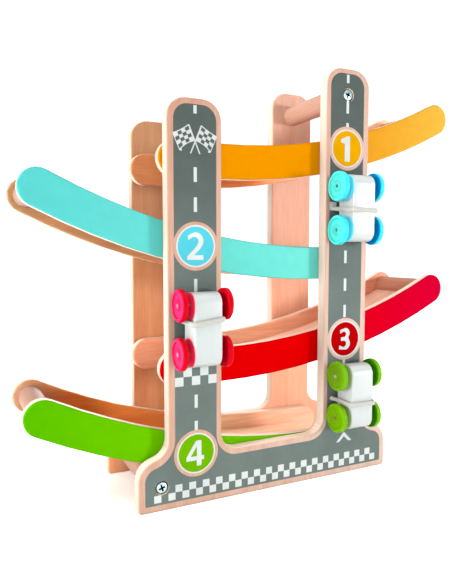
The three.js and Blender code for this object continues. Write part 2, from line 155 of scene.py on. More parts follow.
def add_lamp(name, place, width, watts):
    data = bpy.data.lights.new(name, "AREA")
    data.energy = watts
    data.size = width
    lamp = add_object(name, data)
    lamp.location = place
    lamp.rotation_euler = (LAMP_TARGET - Vector(place)).to_track_quat("-Z", "Y").to_euler()


def add_top_light():
    """An even, very soft light straight from above, which keeps the floor white."""
    light = bpy.data.lights.new("top", "SUN")
    light.energy = TOP_LIGHT_STRENGTH
    light.angle = math.radians(TOP_LIGHT_SPREAD)
    add_object("top", light)


def add_studio():
    bpy.context.scene.view_settings.view_transform = "Standard"
    add_floor()
    add_surround()
    for name, (place, width, watts) in LAMPS.items():
        add_lamp(name, place, width, watts)
    add_top_light()


# Colours are given as they look, from 0 to 255, and divided by the light that falls on them in the studio
FRONT_LIGHT = 2.42
INSIDE_LIGHT = 1.15
DIM_LIGHT = 1.0
LEFT_POST_EDGE_LIGHT = 2.7
RIGHT_POST_EDGE_LIGHT = 2.25
OTHER_EDGE_LIGHT = 1.6
BLACK = (0, 0, 0, 1)
WHITE = (1, 1, 1, 1)


def linear(value):
    """The linear light of an sRGB value from 0 to 255."""
    value /= 255
    return value / 12.92 if value <= 0.04045 else ((value + 0.055) / 1.055) ** 2.4


def srgb(red, green, blue, light=FRONT_LIGHT):
    """The linear colour that looks like these values where so much light falls."""
    return tuple(min(1.0, linear(value) / light) for value in (red, green, blue)) + (1,)


def inside(red, green, blue):
    """The same for a surface inside the track."""
    return srgb(red, green, blue, INSIDE_LIGHT)


def scaled(colour, share):
    """A colour made darker or lighter, up to white."""
    return tuple(min(1.0, share * part) for part in colour[:3]) + (1,)


# Material nodes: the usual range of a noise, and the sockets of a mix of colours
NOISE_LIMITS = (0.3, 0.7)
COLOUR_MIX_INPUTS = (0, 6, 7)
COLOUR_MIX_OUTPUT = 2
BOX_MIDDLE = (0.5, 0.5, 0.5)


class Look:
    """A node material: its shader, and short ways to add and join nodes."""

    def __init__(self, name):
        self.material = bpy.data.materials.new(name)
        self.material.use_nodes = True
        self.tree = self.material.node_tree
        self.shader = self.tree.nodes["Principled BSDF"]
        self.output = self.tree.nodes["Material Output"]
        self.place = self.add("TexCoord").outputs["Object"]

    def feed(self, node, values):
        """Gives a node's inputs, by name or number, other nodes' outputs or fixed values."""
        for key, value in dict(values).items():
            if hasattr(value, "is_output"):
                self.tree.links.new(value, node.inputs[key])
            else:
                node.inputs[key].default_value = value

    def add(self, kind, values=(), **settings):
        """Adds a shader node of a kind with its settings, and feeds its inputs."""
        node = self.tree.nodes.new("ShaderNode" + kind)
        for key, value in settings.items():
            setattr(node, key, value)
        self.feed(node, values)
        return node

    def math(self, operation, *values):
        return self.add("Math", enumerate(values), operation=operation).outputs["Value"]

    def vector_math(self, operation, *values):
        return self.add("VectorMath", enumerate(values), operation=operation).outputs

    def noise(self, cells, detail, distortion=0.0, stretch=(1, 1, 1)):
        """Noise with about so many cells per metre, times the stretch along each axis."""
        mapping = self.add("Mapping", {"Vector": self.place, "Scale": stretch})
        values = {"Scale": cells, "Detail": detail, "Distortion": distortion}
        noise = self.add("TexNoise", values | {"Vector": mapping.outputs["Vector"]})
        return noise.outputs["Fac"]

    def grain(self, axis, along, across, detail, distortion=0.0):
        """Noise with so many cells per metre along an axis, and so many across it."""
        stretch = [along if name == axis else across for name in "XYZ"]
        return self.noise(1.0, detail, distortion, stretch)

    def ramp(self, factor, stops):
        """Colours blended between stops of (factor, colour)."""
        node = self.add("ValToRGB", {"Fac": factor})
        elements = node.color_ramp.elements
        while len(elements) < len(stops):
            elements.new(1.0)
        for element, (position, colour) in zip(elements, stops):
            element.position = position
            element.color = colour
        return node.outputs["Color"]

    def fade(self, factor, limits, first=BLACK, last=WHITE):
        """Two colours, blended where the factor runs from one limit to the other."""
        return self.ramp(factor, list(zip(limits, (first, last))))

    def along_x(self, stops):
        """Colours blended between places along x, given as (x, colour) from left to right."""
        first, last = stops[0][0], stops[-1][0]
        share = self.between(self.coordinate("X"), first, last)
        return self.ramp(share, [((x - first) / (last - first), colour) for x, colour in stops])

    def mix(self, factor, first, second, blend="MIX"):
        """Mixes two colours; each input is a socket or a fixed value."""
        values = zip(COLOUR_MIX_INPUTS, (factor, first, second))
        node = self.add("Mix", values, data_type="RGBA", blend_type=blend)
        return node.outputs[COLOUR_MIX_OUTPUT]

    def times(self, colour, shade):
        """A colour multiplied by another one."""
        return self.mix(1.0, colour, shade, "MULTIPLY")

    def between(self, value, start, end, low=0.0, high=1.0, curve="LINEAR"):
        """A number that goes from low to high as the value goes from start to end."""
        values = {"Value": value, "From Min": start, "From Max": end, "To Min": low, "To Max": high}
        return self.add("MapRange", values, interpolation_type=curve).outputs["Result"]

    def varied(self, noise, low, high):
        """A number from low to high that follows a noise."""
        return self.between(noise, *NOISE_LIMITS, low, high)

    def coordinate(self, axis):
        """The object's own x, y or z in metres."""
        return self.add("SeparateXYZ", {"Vector": self.place}).outputs[axis]

    def rise(self, low, high):
        """A number that goes smoothly from 0 at the low height to 1 at the high one."""
        return self.between(self.coordinate("Z"), low, high, curve="SMOOTHSTEP")

    def near_axis(self, centre, near, far):
        """1 within the near distance of a line along x through the centre, and 0 beyond the far one."""
        flat = self.vector_math("MULTIPLY", self.place, (0, 1, 1))["Vector"]
        distance = self.vector_math("DISTANCE", flat, (0, centre.y, centre.z))["Value"]
        return self.between(distance, far, near, curve="SMOOTHSTEP")

    def radius_share(self):
        """The distance from the middle line along x of the piece's box, as a share of its half height."""
        place = self.add("TexCoord").outputs["Generated"]
        centred = self.vector_math("SUBTRACT", place, BOX_MIDDLE)["Vector"]
        flat = self.vector_math("MULTIPLY", centred, (0, 2, 2))["Vector"]
        return self.vector_math("LENGTH", flat)["Value"]

    def face_normal(self):
        """The x, y and z parts of the face's own direction."""
        normal = self.add("NewGeometry").outputs["True Normal"]
        return self.add("SeparateXYZ", {"Vector": normal}).outputs

    def coat(self, shader, colour, finish, grain, height):
        """Gives a shader its colour and a finish, with roughness by a grain and relief by a height.

        A finish is a roughness or its range, a gloss, and the relief's depth in metres and its strength.
        """
        roughness, gloss, depth, strength = finish
        if isinstance(roughness, tuple):
            roughness = self.varied(grain, *roughness)
        bump = self.add("Bump", {"Height": height, "Distance": depth, "Strength": strength})
        values = {"Base Color": colour, "Roughness": roughness, "Specular IOR Level": gloss}
        self.feed(shader, values | {"Normal": bump.outputs["Normal"]})


# Wood: its tones along x, as stops of (x in metres, colour). Except in plain wood, the changes along x are
# painted light and shade.
# Front panel: lighter towards the right, a painted light
FRONT_WOOD_WITH_PAINTED_LIGHT = ((-0.06, srgb(234, 186, 160)), (0.06, srgb(242, 206, 186)))
# Back panel: darker on the left post, a painted shade, and lighter at the left foot and on the right post, a
# painted light
BACK_WOOD_WITH_PAINTED_SHADE = (
    (-0.1, inside(226, 168, 126)),
    (-0.088, inside(182, 125, 82)),
    (-0.043, inside(182, 125, 82)),
    (0.043, inside(220, 164, 135)),
)
# Back rails: painted shade and coloured light, deeper and more orange in shade beside the painted rails, and
# paler where light falls
RAIL_WOOD_WITH_PAINTED_SHADE = {
    1: ((-0.06, inside(186, 122, 74)), (0.02, inside(232, 138, 66)), (0.09, inside(242, 190, 160))),
    2: ((-0.1, inside(160, 122, 82)), (0.04, inside(236, 180, 140))),
    3: (
        (-0.06, inside(208, 142, 108)),
        (-0.03, inside(250, 202, 170)),
        (0.04, inside(250, 194, 160)),
        (0.11, inside(210, 132, 104)),
    ),
    4: (
        (-0.165, inside(186, 138, 104)),
        (-0.13, inside(198, 112, 34)),
        (-0.06, inside(190, 108, 30)),
        (-0.02, srgb(255, 224, 186, DIM_LIGHT)),
        (0.03, inside(242, 190, 160)),
    ),
}
# Floors: the same painted shade, coloured light and light along x
FLOOR_WOOD_WITH_PAINTED_SHADE = {
    1: ((-0.06, inside(226, 150, 96)), (0.04, inside(232, 142, 76)), (0.08, inside(242, 190, 160))),
    2: ((-0.06, inside(226, 156, 106)), (0.04, inside(240, 186, 150))),
    3: ((0.02, inside(255, 220, 192)), (0.1, inside(200, 156, 136))),
    4: ((-0.06, inside(226, 150, 90)), (-0.02, srgb(255, 228, 198, DIM_LIGHT))),
}
# Crossbars and end bars: darker towards the left and the right end, a painted shade
BAR_WOOD_WITH_PAINTED_SHADE = ((-0.06, srgb(200, 158, 136)), (0.06, srgb(238, 186, 162)), (0.14, srgb(226, 150, 116)))
PLAIN_WOOD = ((-0.06, inside(230, 176, 138)), (0.06, inside(242, 196, 164)))
PLAIN_LIMITS = (0.3, 0.6)

# Painted light and shade that the panels' tones are multiplied by, at the low and the high end of these
# heights: lighter near the bottom and darker towards the top
WOOD_PAINTED_SHADE_HEIGHTS = (0.05, 0.3)
FRONT_PAINTED_HEIGHT_SHADE = ((1.02, 1.08, 1.1, 1), (0.88, 0.82, 0.8, 1))
BACK_PAINTED_HEIGHT_SHADE = ((1.05, 1.0, 0.95, 1), (0.7, 0.8, 0.9, 1))

# Grain, with its cells per metre along and across the wood
BAND_CELLS = (7, 95)
BAND_SWIRL = 0.8
BAND_SHADE = (0.9, 0.76, 0.68, 1)
FIBRE_CELLS = (60, 1500)
FIBRE_LIMITS = (0.35, 0.65)
FIBRE_SHARE = 0.16
FLECK_CELLS = (260, 2600)
FLECK_LIMITS = (0.66, 0.74)
FLECK_SHARE = (0.3, 0.3, 0.3, 1)
WOOD_FINISH = ((0.5, 0.64), 0.3, 0.0001, 0.3)

# Cut edges of plywood: those that face left, by their place along x, and those that face up, down or right.
# Their colours differ to offset the lamps, a painted light and shade: darker on edges that face the left
# lamp, less dark on the right post, which the left post shades, and lighter on the other edges.
LEFT_EDGE_WITH_PAINTED_LIGHT = (
    (-0.08, srgb(252, 236, 216, LEFT_POST_EDGE_LIGHT)),
    (0.045, srgb(252, 236, 217, RIGHT_POST_EDGE_LIGHT)),
)
OTHER_EDGE_WITH_PAINTED_LIGHT = srgb(252, 232, 212, OTHER_EDGE_LIGHT)
OTHER_EDGE_LIMITS = (0.4, 0.9)
FLAT_FACE_LIMITS = (0.2, 0.7)
PLY_MIDDLE = 0.5
GLUE_SHADE = (0.86, 0.66, 0.56, 1)
GLUE_LIMITS = (0.32, 0.5)
GLUE_SHARE = (0.8, 0.8, 0.8, 1)


def dress_wood(look, shader, tones, axis, plies=None, height_shade=None, plain_side=None):
    """Wood with bands, fibres and short flecks along an axis.

    Plies, a node and its number of layers, add layered edges. A painted height shade multiplies the tones:
    painted light low down and painted shade towards the top. Faces that look along the plain side's axis have
    plain wood's tones.
    """
    bands = look.grain(axis, *BAND_CELLS, detail=3, distortion=BAND_SWIRL)
    fibres = look.grain(axis, *FIBRE_CELLS, detail=2)
    flecks = look.grain(axis, *FLECK_CELLS, detail=1)
    light = look.along_x(tones)
    if height_shade:
        # Painted light low down and painted shade towards the top
        light = look.times(light, look.mix(look.rise(*WOOD_PAINTED_SHADE_HEIGHTS), *height_shade))
    if plain_side:
        plain = look.fade(look.face_normal()[plain_side], PLAIN_LIMITS)
        light = look.mix(plain, light, look.along_x(PLAIN_WOOD))
    dark = look.times(light, BAND_SHADE)
    colour = look.mix(look.fade(bands, NOISE_LIMITS), dark, light)
    colour = look.mix(FIBRE_SHARE, colour, look.fade(fibres, FIBRE_LIMITS), "MULTIPLY")
    colour = look.mix(look.fade(flecks, FLECK_LIMITS, last=FLECK_SHARE), colour, dark)
    if plies:
        colour = layered_edges(look, colour, *plies)
    look.coat(shader, colour, WOOD_FINISH, fibres, fibres)


def layered_edges(look, face_colour, node, count):
    """The cut edges of a plywood node: pale layers with thin darker glue lines between them."""
    low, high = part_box(node)
    depth = look.math("SUBTRACT", look.coordinate("Y"), low.y)
    in_layer = look.math("FRACT", look.math("DIVIDE", depth, (high.y - low.y) / count))
    off_middle = look.math("ABSOLUTE", look.math("SUBTRACT", in_layer, PLY_MIDDLE))
    glue = look.fade(off_middle, GLUE_LIMITS, last=GLUE_SHARE)
    normal = look.face_normal()
    not_left = look.math("MAXIMUM", look.math("ABSOLUTE", normal["Z"]), normal["X"])
    # Painted light and shade: edges facing left are darker than the others to offset the left lamp
    edge = look.mix(look.fade(not_left, OTHER_EDGE_LIMITS), look.along_x(LEFT_EDGE_WITH_PAINTED_LIGHT), OTHER_EDGE_WITH_PAINTED_LIGHT)
    edge = look.mix(glue, edge, look.times(edge, GLUE_SHADE))
    on_face = look.fade(look.math("ABSOLUTE", normal["Y"]), FLAT_FACE_LIMITS)
    return look.mix(on_face, edge, face_colour)


def wood(name, tones, axis, **sides):
    look = Look(name)
    dress_wood(look, look.shader, tones, axis, **sides)
    return look.material


# Rail paint: its colours along x, as stops of (x in metres, colour); the change along each rail is painted
# light and shade
RAIL_PAINT_AND_PAINTED_LIGHT = {
    1: ((0.045, srgb(244, 154, 0)), (0.17, srgb(238, 187, 68))),
    2: ((-0.17, srgb(94, 214, 210)), (0.04, srgb(122, 240, 226))),
    3: ((0.045, srgb(234, 0, 2)), (0.17, srgb(216, 0, 52))),
    4: ((-0.17, srgb(92, 194, 0)), (-0.07, srgb(120, 212, 0))),
}
MOTTLE_CELLS = 160
MOTTLE_LIMITS = (0.25, 0.75)
MOTTLE_SHADE = (0.94, 0.94, 0.94, 1)
PAINT_FIBRE_CELLS = (30, 900)
PAINT_FINISH = ((0.45, 0.55), 0.0, 0.00003, 0.4)
PAINTED_FROM = 0.3


def dress_paint(look, shader, tones):
    """Paint over a rail: slightly uneven colour with painted light and shade along x, and the fibres showing
    through as faint relief.
    """
    mottle = look.noise(MOTTLE_CELLS, detail=3)
    fibres = look.grain("X", *PAINT_FIBRE_CELLS, detail=2)
    # The change of colour along x is painted light and shade
    colour = look.along_x(tones)
    colour = look.mix(look.fade(mottle, MOTTLE_LIMITS), look.times(colour, MOTTLE_SHADE), colour)
    look.coat(shader, colour, PAINT_FINISH, mottle, fibres)


def painted_rail(name, number, plies):
    """A rail painted on its outer face and that face's rounded edge, with bare wood elsewhere."""
    look = Look(name)
    dress_paint(look, look.shader, RAIL_PAINT_AND_PAINTED_LIGHT[number])
    bare = look.add("BsdfPrincipled")
    dress_wood(look, bare, PLAIN_WOOD, "X", plies)
    outward = look.math("MULTIPLY", look.face_normal()["Y"], -1.0)
    painted = look.math("GREATER_THAN", outward, PAINTED_FROM)
    values = (painted, bare.outputs["BSDF"], look.shader.outputs["BSDF"])
    mix = look.add("MixShader", enumerate(values))
    look.feed(look.output, {"Surface": mix.outputs["Shader"]})
    return look.material


# White paint on the car bodies, with a painted coloured shadow of the wheels beside the wheels
BODY_WHITE = srgb(217, 225, 223)
BODY_LINE_CELLS = (6, 1400)
BODY_LINE_LIMITS = (0.35, 0.65)
BODY_LINE_SHADE = 0.965
BODY_FINISH = ((0.3, 0.33), 0.4, 0.000004, 0.1)
# Colours of the painted coloured shadow that each car's wheels throw on its sides
PAINTED_WHEEL_SHADOW = {"blue": (0.12, 0.78, 0.9, 1), "red": (0.9, 0.01, 0.08, 1), "green": (0.26, 0.4, 0.05, 1)}
PAINTED_WHEEL_SHADOW_SHARE = {"blue": 0.97, "red": 0.97, "green": 0.6}
BODY_SIDE_LIMITS = (0.4, 0.8)
PAINTED_SHADOW_WITHIN_WHEEL = 1.6 * MM
PAINTED_SHADOW_PAST_WHEEL = 0.6 * MM


def painted_wheel_shadow_mask(look, car):
    """1 on the sides of a car's body where a wheel stands in front of them, else 0; this is where the wheel's
    coloured shadow is painted.
    """
    on_side = look.fade(look.math("ABSOLUTE", look.face_normal()["X"]), BODY_SIDE_LIMITS)
    low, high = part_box(f"{car}_car_upper_left_wheel")
    radius = (high.z - low.z) / 2
    patches = []
    for end in AXLE_ENDS:
        centre = middle_of(f"{car}_car_{end}_axle")
        patches.append(look.near_axis(centre, radius - PAINTED_SHADOW_WITHIN_WHEEL, radius + PAINTED_SHADOW_PAST_WHEEL))
    return look.math("MULTIPLY", look.math("MAXIMUM", *patches), on_side)


def white_painted(name, car):
    """Glossy white paint, with fine upright lines and a painted coloured shadow of the wheels on the sides.
    """
    look = Look(name)
    lines = look.grain("Z", *BODY_LINE_CELLS, detail=1)
    paint = look.fade(lines, BODY_LINE_LIMITS, scaled(BODY_WHITE, BODY_LINE_SHADE), BODY_WHITE)
    # The wheels' coloured shadow, painted onto the white sides
    painted_shadow = look.math("MULTIPLY", painted_wheel_shadow_mask(look, car), PAINTED_WHEEL_SHADOW_SHARE[car])
    colour = look.mix(painted_shadow, paint, PAINTED_WHEEL_SHADOW[car])
    look.coat(look.shader, colour, BODY_FINISH, lines, lines)
    return look.material


# Ink of the road print; its top painted shade is how much darker the ink is painted at the high end of these
# heights, a painted shade towards the posts' tops
INK_PAINTED_SHADE_HEIGHTS = (0.12, 0.26)
ROAD_GREY = srgb(121, 134, 129)
ROAD_SPECKLE = 0.09
ROAD_TOP_PAINTED_SHADE = 0.42
PRINT_WHITE = srgb(236, 242, 240)
WHITE_SPECKLE = 0.04
WHITE_TOP_PAINTED_SHADE = 0.12
DISC_PAINT = {1: srgb(237, 170, 4), 2: srgb(91, 212, 228), 3: srgb(198, 2, 8), 4: srgb(117, 191, 2)}
DISC_SPECKLE = 0.05
INK_DOT_CELLS = 2600
INK_TONE_CELLS = 45
INK_TONE_SHARE = 0.08
INK_FINISH = ((0.5, 0.65), 0.0, 0.00003, 0.3)


def printed(name, colour, speckle, top_painted_shade=0.0):
    """Ink on wood: a fine speckle over a slow change of tone, with a painted shade that darkens it towards
    the top by the top painted shade.
    """
    look = Look(name)
    dots = look.noise(INK_DOT_CELLS, detail=2)
    tone = look.noise(INK_TONE_CELLS, detail=2)
    ink = look.fade(dots, NOISE_LIMITS, scaled(colour, 1 - speckle), scaled(colour, 1 + speckle))
    ink = look.mix(INK_TONE_SHARE, ink, look.fade(tone, NOISE_LIMITS), "OVERLAY")
    if top_painted_shade:
        # Painted shade towards the top
        painted_shade_ink = look.times(ink, scaled(WHITE, 1 - top_painted_shade))
        ink = look.mix(look.rise(*INK_PAINTED_SHADE_HEIGHTS), ink, painted_shade_ink)
    look.coat(look.shader, ink, INK_FINISH, dots, dots)
    return look.material


# Wheel plastic: treads, outer faces with two darker lines of painted groove shade round them, and faces
# towards the car's body in a painted shade
WHEEL_PLASTIC = {"blue": srgb(70, 240, 238), "red": srgb(226, 0, 20), "green": srgb(128, 194, 0)}
WHEEL_FACE = {"blue": srgb(96, 254, 242), "red": srgb(242, 24, 108), "green": srgb(122, 182, 0)}
WHEEL_INNER_PAINTED_SHADE = {"blue": srgb(4, 150, 220), "red": srgb(208, 0, 34), "green": srgb(64, 150, 0)}
WHEEL_FACE_LIMITS = (0.5, 0.95)
WHEEL_INNER_PAINTED_SHADE_LIMITS = (0.2, 0.8)
WHEEL_GLOW = {"blue": (0.1, 0.8, 1.0), "red": (1.0, 0.05, 0.3), "green": (0.5, 1.0, 0.05)}
GLOW_WEIGHT = 0.7
GLOW_DEPTH = 0.006
FLOW_CELLS = 120
FLOW_SWIRL = 1.5
FLOW_LIMITS = (0.2, 0.8)
FLOW_SHADE = 0.97
GRIT_CELLS = 1200
# Two darker lines at the rim's and the hub's grooves, a painted shade
LINE_PLACES = (0.78, 0.36)
LINE_HALF_WIDTH = 0.06
GROOVE_PAINTED_SHADE_SHARE = 0.85
GROOVE_PAINTED_SHADE = 0.75
PLASTIC_FINISH = ((0.3, 0.34), 0.03, 0.000002, 0.1)


def line_round(look, share, place):
    """1 on a thin line at a share of the radius, fading to 0 at the line's half width from it."""
    away = look.math("ABSOLUTE", look.math("SUBTRACT", share, place))
    fading = look.math("MINIMUM", look.math("DIVIDE", away, LINE_HALF_WIDTH), 1.0)
    return look.math("SUBTRACT", 1.0, fading)


def plastic(name, car, inward):
    """Moulded plastic that lets some light through, with painted shade on the faces towards the body; inward
    is 1 or -1, the body's side along x.
    """
    look = Look(name)
    colour = WHEEL_PLASTIC[car]
    flow = look.noise(FLOW_CELLS, detail=2, distortion=FLOW_SWIRL)
    grit = look.noise(GRIT_CELLS, detail=1)
    tread = look.fade(flow, FLOW_LIMITS, scaled(colour, FLOW_SHADE), colour)
    share = look.radius_share()
    # Darker lines in the grooves: a painted shade
    lines = look.math("MAXIMUM", *[line_round(look, share, place) for place in LINE_PLACES])
    face = look.mix(look.math("MULTIPLY", lines, GROOVE_PAINTED_SHADE_SHARE), WHEEL_FACE[car], scaled(colour, GROOVE_PAINTED_SHADE))
    to_body = look.math("MULTIPLY", look.face_normal()["X"], inward)
    from_body = look.math("MULTIPLY", to_body, -1.0)
    outer = look.mix(look.fade(from_body, WHEEL_FACE_LIMITS), tread, face)
    # Faces towards the body get a deeper colour, a painted shade
    whole = look.mix(look.fade(to_body, WHEEL_INNER_PAINTED_SHADE_LIMITS), outer, WHEEL_INNER_PAINTED_SHADE[car])
    look.coat(look.shader, whole, PLASTIC_FINISH, flow, grit)
    look.feed(look.shader, {"Subsurface Weight": GLOW_WEIGHT, "Subsurface Scale": GLOW_DEPTH})
    look.feed(look.shader, {"Subsurface Radius": WHEEL_GLOW[car]})
    return look.material


# Steel of the screws and axles, as the darker and the lighter tone of its scratches
SCREW_STEEL = (srgb(150, 184, 192, DIM_LIGHT), srgb(196, 220, 226, DIM_LIGHT))
AXLE_STEEL = (srgb(130, 126, 120, DIM_LIGHT), srgb(170, 164, 156, DIM_LIGHT))
# A painted shade on the screws where they sit deep in their counterbores
RECESS_PAINTED_SHADE = srgb(16, 20, 34)
SCREW_PAINTED_SHADE_DEPTH = 1.0 * MM
SCRATCH_CELLS = 900
STEEL_FINISH = ((0.22, 0.4), 0.5, 0.00003, 0.3)


def painted_recess_shade_mask(look, depth):
    """1 for points that lie deeper than the given depth under the outer face of either panel, where the
    painted shade goes.
    """
    from_middle = look.math("ABSOLUTE", look.math("SUBTRACT", look.coordinate("Y"), TRACK_MIDDLE_Y))
    return look.math("LESS_THAN", from_middle, TRACK_HALF_DEPTH - depth)


def steel(name, tones, painted_shade_depth=None):
    """Scratched steel; a painted shade darkens it deeper under the panels' faces than the painted shade
    depth, if one is given.
    """
    look = Look(name)
    scratches = look.noise(SCRATCH_CELLS, detail=3)
    colour = look.fade(scratches, NOISE_LIMITS, *tones)
    if painted_shade_depth:
        colour = look.mix(painted_recess_shade_mask(look, painted_shade_depth), colour, RECESS_PAINTED_SHADE)
    look.coat(look.shader, colour, STEEL_FINISH, scratches, scratches)
    look.feed(look.shader, {"Metallic": 1.0})
    return look.material


# Weave of the elastic
ELASTIC_WHITE = srgb(210, 211, 204)
ELASTIC_SHADE = srgb(186, 183, 172)
THREAD_CELLS = 1900
THREAD_LIMITS = (0.3, 0.62)
ELASTIC_FINISH = (0.85, 0.5, 0.0001, 0.5)
ELASTIC_SHEEN = 0.2


def woven(name):
    """Woven elastic: pale threads with shade between them."""
    look = Look(name)
    threads = look.noise(THREAD_CELLS, detail=2)
    colour = look.fade(threads, THREAD_LIMITS, ELASTIC_SHADE, ELASTIC_WHITE)
    look.coat(look.shader, colour, ELASTIC_FINISH, threads, threads)
    look.feed(look.shader, {"Sheen Weight": ELASTIC_SHEEN})
    return look.material


# The CAD nodes keep their shapes: facets are shaded smooth, and each node gets its material
FACET_LIMIT = 60
WELD_DISTANCE = 1e-6
PANEL_PLIES = 7
RAIL_PLIES = 5

# Ramps whose floor shows its underside in the photograph, so that its upper side has plain wood's tones
UNDERSIDE_SEEN = (1, 2)


def dress_node(node, material):
    thing = NODES[node]
    thing.data.materials.clear()
    thing.data.materials.append(material)
    thing.data.polygons.foreach_set("use_smooth", [True] * len(thing.data.polygons))
    thing.modifiers.new("weld", "WELD").merge_threshold = WELD_DISTANCE
    thing.modifiers.new("split", "EDGE_SPLIT").split_angle = math.radians(FACET_LIMIT)
    thing.modifiers.new("normals", "WEIGHTED_NORMAL").keep_sharp = True


def dress_panel(node, tones, shade):
    plies = (node, PANEL_PLIES)
    dress_node(node, wood(f"{node}_wood", tones, "Z", plies=plies, height_shade=shade, plain_side="Y"))


def dress_ramp(number, bar_wood):
    front_rail = f"ramp_{number}_front_rail"
    dress_node(front_rail, painted_rail(f"rail_{number}_paint", number, (front_rail, RAIL_PLIES)))
    back_rail = f"ramp_{number}_back_rail"
    plies = (back_rail, RAIL_PLIES)
    dress_node(back_rail, wood(f"rail_{number}_wood", RAIL_WOOD_WITH_PAINTED_SHADE[number], "X", plies=plies, plain_side="Y"))
    floor_plain = "Z" if number in UNDERSIDE_SEEN else None
    floor_wood = wood(f"floor_{number}_wood", FLOOR_WOOD_WITH_PAINTED_SHADE[number], "X", plain_side=floor_plain)
    dress_node(f"ramp_{number}_floor", floor_wood)
    dress_node(f"ramp_{number}_end_bar", bar_wood)


def dress_frame():
    dress_panel("front_panel", FRONT_WOOD_WITH_PAINTED_LIGHT, FRONT_PAINTED_HEIGHT_SHADE)
    dress_panel("back_panel", BACK_WOOD_WITH_PAINTED_SHADE, BACK_PAINTED_HEIGHT_SHADE)
    bar_wood = wood("bar_wood", BAR_WOOD_WITH_PAINTED_SHADE, "Y")
    screw_steel = steel("screw_steel", SCREW_STEEL, SCREW_PAINTED_SHADE_DEPTH)
    for bar in CROSSBARS:
        dress_node(f"{bar}_crossbar", bar_wood)
        dress_node(f"{bar}_screw_front", screw_steel)
        dress_node(f"{bar}_screw_back", screw_steel)
    for number in RAMP_NUMBERS:
        dress_ramp(number, bar_wood)


# New pieces
JOIN_DISTANCE = 1e-7
SMOOTH_LIMIT = 40


def add_piece(name, mesh, material, body):
    """A piece with its material and slot, which rides on a body if one is given."""
    mesh.name = name
    mesh.materials.clear()
    mesh.materials.append(material)
    piece = add_object(name, mesh)
    if body:
        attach(piece, body)
    return piece


def smooth_mesh(mesh):
    mesh.shade_smooth()
    mesh.set_sharp_from_angle(angle=math.radians(SMOOTH_LIMIT))


def join_loops(shape, loops, ring=False):
    """Joins each loop of points to the next one by faces, and closes the ends or joins them to a ring."""
    following = loops[1:] + loops[:1] if ring else loops[1:]
    for first, second in zip(loops, following):
        for i in range(len(first)):
            j = (i + 1) % len(first)
            shape.faces.new((first[i], first[j], second[j], second[i]))
    if not ring:
        shape.faces.new(loops[0])
        shape.faces.new(reversed(loops[-1]))


def mesh_of(shape):
    """A mesh of a shape, with doubled points joined and all faces turned outwards."""
    bmesh.ops.remove_doubles(shape, verts=shape.verts, dist=JOIN_DISTANCE)
    bmesh.ops.recalc_face_normals(shape, faces=shape.faces)
    mesh = bpy.data.meshes.new("piece")
    shape.to_mesh(mesh)
    shape.free()
    return mesh


# Outlines in millimetres: x to the right of the middle, z above the floor
def arc(x, z, radius, start, end, steps=12):
    points = []
    for step in range(steps + 1):
        angle = math.radians(start + (end - start) * step / steps)
        points.append((x + radius * math.cos(angle), z + radius * math.sin(angle)))
    return points


def circle(x, z, radius, steps):
    return arc(x, z, radius, 0, 360, steps)[:-1]


def rectangle(left, bottom, right, top):
    return [(left, bottom), (right, bottom), (right, top), (left, top)]


def chequers(left, bottom, square, columns, skipped=None):
    """Squares in two rows, low and high in turns from the left."""
    squares = []
    for column in range(columns):
        if column != skipped:
            x = left + column * square
            z = bottom + (column % 2) * square
            squares.append(rectangle(x, z, x + square, z + square))
    return squares


# The road print on the front panel, in thin sheets one over the other
SHEET = 0.04 * MM
ROAD_LAYER = 1
MARK_LAYER = 2
FLAG_LAYER = 3
DISC_LAYER = 3
NUMBER_LAYER = 6


def flat_print(name, outlines, layer, material):
    """A thin sheet on the front face, cut to outlines; an outline inside another one is a hole."""
    curve = bpy.data.curves.new(name, "CURVE")
    curve.dimensions = "2D"
    curve.fill_mode = "BOTH"
    curve.extrude = SHEET / 2
    for outline in outlines:
        spline = curve.splines.new("POLY")
        spline.points.add(len(outline) - 1)
        spline.use_cyclic_u = True
        for point, (x, z) in zip(spline.points, outline):
            point.co = (x * MM, z * MM, 0, 1)
    holder = add_object(name, curve)
    bpy.context.view_layer.update()
    graph = bpy.context.evaluated_depsgraph_get()
    drawn = bpy.data.meshes.new_from_object(holder.evaluated_get(graph))
    bpy.data.objects.remove(holder)
    bpy.data.curves.remove(curve)
    shape = bmesh.new()
    shape.from_mesh(drawn)
    bpy.data.meshes.remove(drawn)
    mesh = mesh_of(shape)
    mesh.transform(Matrix.Rotation(math.pi / 2, 4, "X"))
    mesh.transform(Matrix.Translation((0, FRONT_Y - (layer - 0.5) * SHEET, 0)))
    add_piece(name, mesh, material, "frame")


# The grey road: up both posts with round tops, along the base, and round the feet's shoulders
ROAD_LEFT_X = -61.7
ROAD_RIGHT_X = 61.3
ROAD_HALF_WIDTH = 15.2
ROAD_TOP_RADIUS = 10.0
ROAD_LEFT_TOP = 267.3
ROAD_RIGHT_TOP = 302.8
ROAD_BOTTOM = 4.6
ROAD_END_X = 98.1
ROAD_END_RADIUS = 1.0
ROAD_END_STEPS = 4
ROAD_BASE_TOP = 30.3
ROAD_INNER_RADIUS = 16.0
ROAD_SHOULDER_RADIUS = 9.3
ROAD_SHOULDER_HEIGHT = 20.5
ROAD_HOLLOW_RADIUS = 18.3


